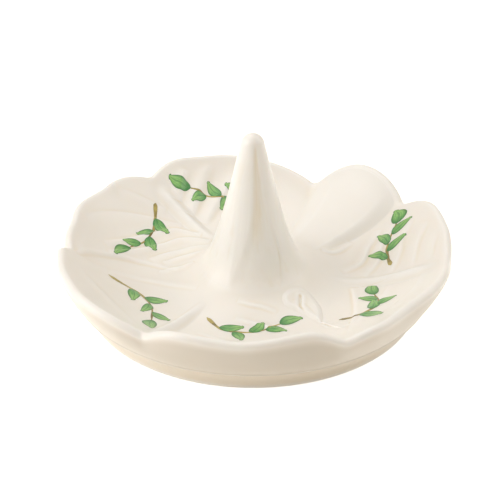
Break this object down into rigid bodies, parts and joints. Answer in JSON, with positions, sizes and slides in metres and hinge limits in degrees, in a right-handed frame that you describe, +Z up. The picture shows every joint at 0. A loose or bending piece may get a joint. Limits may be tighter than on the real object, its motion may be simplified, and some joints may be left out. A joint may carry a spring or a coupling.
{
  "type": "ring holder",
  "caption": "Glazed porcelain ring dish with a leaf-lobed rim, low leaf relief and a tall tapered central post for finger rings, standing on a round foot.",
  "frame": {"origin": "centre of the circle that the foot stands on, on the table plane, under the middle of the part", "axes": "+Z up along the ring post, -Y towards the viewer of the picture, +X to that viewer's right; the smooth petal lies between +X and +Y"},
  "size_m": [0.109, 0.1077, 0.0514],
  "materials": {
    "glazed_porcelain": "thin, glossy, warm cream glaze over fine porcelain",
    "foot_porcelain": "the same cream glaze, wiped off the standing face"
  },
  "bodies": {
    "root": {"dish": "glazed_porcelain", "ring_post": "glazed_porcelain", "post_fillet": "glazed_porcelain", "smooth_petal": "glazed_porcelain", "bud_sprig": "glazed_porcelain", "back_leaf_rib": "glazed_porcelain", "front_leaf_rib": "glazed_porcelain", "right_leaf_rib": "glazed_porcelain", "foot_ring": "foot_porcelain", "foot_bead": "foot_porcelain"}
  },
  "joints": []
}
